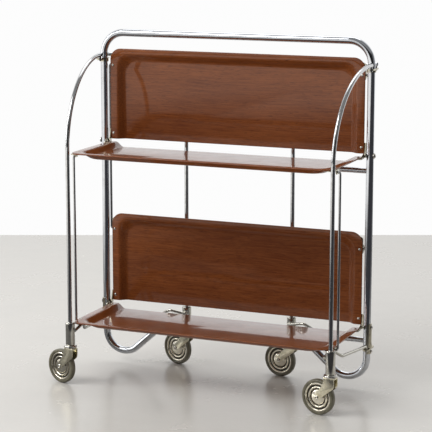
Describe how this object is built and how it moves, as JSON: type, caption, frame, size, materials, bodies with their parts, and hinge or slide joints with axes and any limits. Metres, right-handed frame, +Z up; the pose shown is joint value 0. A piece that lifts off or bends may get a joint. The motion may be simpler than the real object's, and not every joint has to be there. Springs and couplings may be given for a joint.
{
  "type": "folding tea trolley",
  "caption": "Folding tea trolley: a bent-tube frame with moulded trays hinged on both sides, held up by swinging gate legs on castors.",
  "frame": {"origin": "on the floor, midway between the two uprights", "axes": "+Z up, +X along the trays towards the right-hand upright, -Y towards the trays that are let down"},
  "size_m": [0.6813, 0.2742, 0.7575],
  "materials": {
    "chrome_tube": "bright chrome plate",
    "chrome_rod": "bright plated wire",
    "tray_laminate": "satin, reddish brown with fine grain along the length",
    "bright_rivet": "bright turned steel",
    "zinc_sheet": "zinc plate, dulled",
    "zinc_leg": "polished zinc plate",
    "bright_stem": "bright turned steel",
    "zinc_fork": "zinc plate with a faint yellow tone",
    "wheel_centre": "zinc plate, with stepped rings",
    "tyre_rubber": "olive grey rubber, a little worn"
  },
  "bodies": {
    "frame": {"frame_tube": "chrome_tube", "upper_cross_tube": "chrome_tube", "lower_cross_tube": "chrome_tube", "tray_hinge_pins": "bright_rivet", "hinge_pin_washers": "bright_rivet", "foot_bracket_rivets": "bright_rivet", "gate_head_brackets": "zinc_sheet", "gate_foot_brackets": "zinc_sheet"},
    "front_upper_leaf": {"front_upper_tray": "tray_laminate", "front_upper_hinge_brackets": "zinc_sheet", "front_upper_corner_brackets": "zinc_sheet", "front_upper_tray_rivets": "bright_rivet"},
    "front_lower_leaf": {"front_lower_tray": "tray_laminate", "front_lower_hinge_brackets": "zinc_sheet", "front_lower_corner_brackets": "zinc_sheet", "front_lower_tray_rivets": "bright_rivet"},
    "front_right_link": {"front_right_link_rod": "chrome_rod"},
    "front_left_link": {"front_left_link_rod": "chrome_rod"},
    "rear_upper_leaf": {"rear_upper_tray": "tray_laminate", "rear_upper_hinge_brackets": "zinc_sheet", "rear_upper_corner_brackets": "zinc_sheet", "rear_upper_tray_rivets": "bright_rivet"},
    "rear_lower_leaf": {"rear_lower_tray": "tray_laminate", "rear_lower_hinge_brackets": "zinc_sheet", "rear_lower_corner_brackets": "zinc_sheet", "rear_lower_tray_rivets": "bright_rivet"},
    "rear_right_link": {"rear_right_link_rod": "chrome_rod"},
    "rear_left_link": {"rear_left_link_rod": "chrome_rod"},
    "front_left_gate": {"front_left_leg_tube": "chrome_tube", "front_left_leg_sleeve": "zinc_leg", "front_left_leg_stay": "zinc_leg", "front_left_castor_stem": "bright_stem"},
    "front_left_castor": {"front_left_castor_fork": "zinc_fork", "front_left_castor_axle": "bright_rivet"},
    "front_left_castor_wheel_set": {"front_left_castor_wheel": "wheel_centre", "front_left_castor_tyre": "tyre_rubber"},
    "front_right_gate": {"front_right_leg_tube": "chrome_tube", "front_right_leg_sleeve": "zinc_leg", "front_right_leg_stay": "zinc_leg", "front_right_castor_stem": "bright_stem"},
    "front_right_castor": {"front_right_castor_fork": "zinc_fork", "front_right_castor_axle": "bright_rivet"},
    "front_right_castor_wheel_set": {"front_right_castor_wheel": "wheel_centre", "front_right_castor_tyre": "tyre_rubber"},
    "rear_left_gate": {"rear_left_leg_tube": "chrome_tube", "rear_left_leg_sleeve": "zinc_leg", "rear_left_leg_stay": "zinc_leg", "rear_left_castor_stem": "bright_stem"},
    "rear_left_castor": {"rear_left_castor_fork": "zinc_fork", "rear_left_castor_axle": "bright_rivet"},
    "rear_left_castor_wheel_set": {"rear_left_castor_wheel": "wheel_centre", "rear_left_castor_tyre": "tyre_rubber"},
    "rear_right_gate": {"rear_right_leg_tube": "chrome_tube", "rear_right_leg_sleeve": "zinc_leg", "rear_right_leg_stay": "zinc_leg", "rear_right_castor_stem": "bright_stem"},
    "rear_right_castor": {"rear_right_castor_fork": "zinc_fork", "rear_right_castor_axle": "bright_rivet"},
    "rear_right_castor_wheel_set": {"rear_right_castor_wheel": "wheel_centre", "rear_right_castor_tyre": "tyre_rubber"}
  },
  "joints": [
    {"name": "front_upper_leaf_hinge", "type": "hinge", "parent": "frame", "child": "front_upper_leaf", "pos_m": [0, 0, 0.51], "axis": [-1, 0, 0], "range_deg": [0, 90]},
    {"name": "front_lower_leaf_hinge", "type": "hinge", "parent": "frame", "child": "front_lower_leaf", "pos_m": [0, 0, 0.141], "axis": [-1, 0, 0], "range_deg": [0, 90]},
    {"name": "front_right_link_pivot", "type": "hinge", "parent": "front_upper_leaf", "child": "front_right_link", "pos_m": [0.3002, -0.168, 0.5004], "axis": [-1, 0, 0], "range_deg": [-90, 0]},
    {"name": "front_left_link_pivot", "type": "hinge", "parent": "front_upper_leaf", "child": "front_left_link", "pos_m": [-0.3002, -0.168, 0.5004], "axis": [-1, 0, 0], "range_deg": [-90, 0]},
    {"name": "rear_upper_leaf_hinge", "type": "hinge", "parent": "frame", "child": "rear_upper_leaf", "pos_m": [0, 0, 0.51], "axis": [-1, 0, 0], "range_deg": [-0.1, 0.2]},
    {"name": "rear_lower_leaf_hinge", "type": "hinge", "parent": "frame", "child": "rear_lower_leaf", "pos_m": [0, 0, 0.141], "axis": [-1, 0, 0], "range_deg": [-0.1, 0.2]},
    {"name": "rear_right_link_pivot", "type": "hinge", "parent": "rear_upper_leaf", "child": "rear_right_link", "pos_m": [0.3002, 0.0096, 0.678], "axis": [-1, 0, 0], "range_deg": [-0.2, 0.1]},
    {"name": "rear_left_link_pivot", "type": "hinge", "parent": "rear_upper_leaf", "child": "rear_left_link", "pos_m": [-0.3002, 0.0096, 0.678], "axis": [-1, 0, 0], "range_deg": [-0.2, 0.1]},
    {"name": "front_left_gate_swing", "type": "hinge", "parent": "frame", "child": "front_left_gate", "pos_m": [-0.312, -0.0162, 0.141], "axis": [0, 0, -1], "range_deg": [-0.2, 1]},
    {"name": "front_left_castor_swivel", "type": "hinge", "parent": "front_left_gate", "child": "front_left_castor", "pos_m": [-0.297, -0.203, 0.081], "axis": [0, 0, 1], "continuous": true},
    {"name": "front_left_castor_roll", "type": "hinge", "parent": "front_left_castor", "child": "front_left_castor_wheel_set", "pos_m": [-0.32315, -0.1945, 0.0375], "axis": [-0.309, -0.9511, 0], "continuous": true},
    {"name": "front_right_gate_swing", "type": "hinge", "parent": "frame", "child": "front_right_gate", "pos_m": [0.312, -0.0162, 0.141], "axis": [0, 0, 1], "range_deg": [-0.2, 1]},
    {"name": "front_right_castor_swivel", "type": "hinge", "parent": "front_right_gate", "child": "front_right_castor", "pos_m": [0.297, -0.203, 0.081], "axis": [0, 0, 1], "continuous": true},
    {"name": "front_right_castor_roll", "type": "hinge", "parent": "front_right_castor", "child": "front_right_castor_wheel_set", "pos_m": [0.2701, -0.19728, 0.0375], "axis": [-0.2079, -0.9781, 0], "continuous": true},
    {"name": "rear_left_gate_swing", "type": "hinge", "parent": "frame", "child": "rear_left_gate", "pos_m": [-0.312, 0.0162, 0.141], "axis": [0, 0, 1], "range_deg": [0, 80.5]},
    {"name": "rear_left_castor_swivel", "type": "hinge", "parent": "rear_left_gate", "child": "rear_left_castor", "pos_m": [-0.12529, 0.03224, 0.081], "axis": [0, 0, 1], "continuous": true},
    {"name": "rear_left_castor_roll", "type": "hinge", "parent": "rear_left_castor", "child": "rear_left_castor_wheel_set", "pos_m": [-0.15151, 0.04051, 0.0375], "axis": [-0.3007, -0.9537, 0], "continuous": true},
    {"name": "rear_right_gate_swing", "type": "hinge", "parent": "frame", "child": "rear_right_gate", "pos_m": [0.312, 0.0162, 0.141], "axis": [0, 0, -1], "range_deg": [0, 80.5]},
    {"name": "rear_right_castor_swivel", "type": "hinge", "parent": "rear_right_gate", "child": "rear_right_castor", "pos_m": [0.12529, 0.03224, 0.081], "axis": [0, 0, 1], "continuous": true},
    {"name": "rear_right_castor_roll", "type": "hinge", "parent": "rear_right_castor", "child": "rear_right_castor_wheel_set", "pos_m": [0.09825, 0.03725, 0.0375], "axis": [-0.1822, -0.9833, 0], "continuous": true}
  ],
  "couplings": [
    {"joint": "front_lower_leaf_hinge", "follows": "front_upper_leaf_hinge", "ratio": 1},
    {"joint": "front_right_link_pivot", "follows": "front_upper_leaf_hinge", "ratio": -1},
    {"joint": "front_left_link_pivot", "follows": "front_upper_leaf_hinge", "ratio": -1},
    {"joint": "rear_lower_leaf_hinge", "follows": "rear_upper_leaf_hinge", "ratio": 1},
    {"joint": "rear_right_link_pivot", "follows": "rear_upper_leaf_hinge", "ratio": -1},
    {"joint": "rear_left_link_pivot", "follows": "rear_upper_leaf_hinge", "ratio": -1}
  ]
}
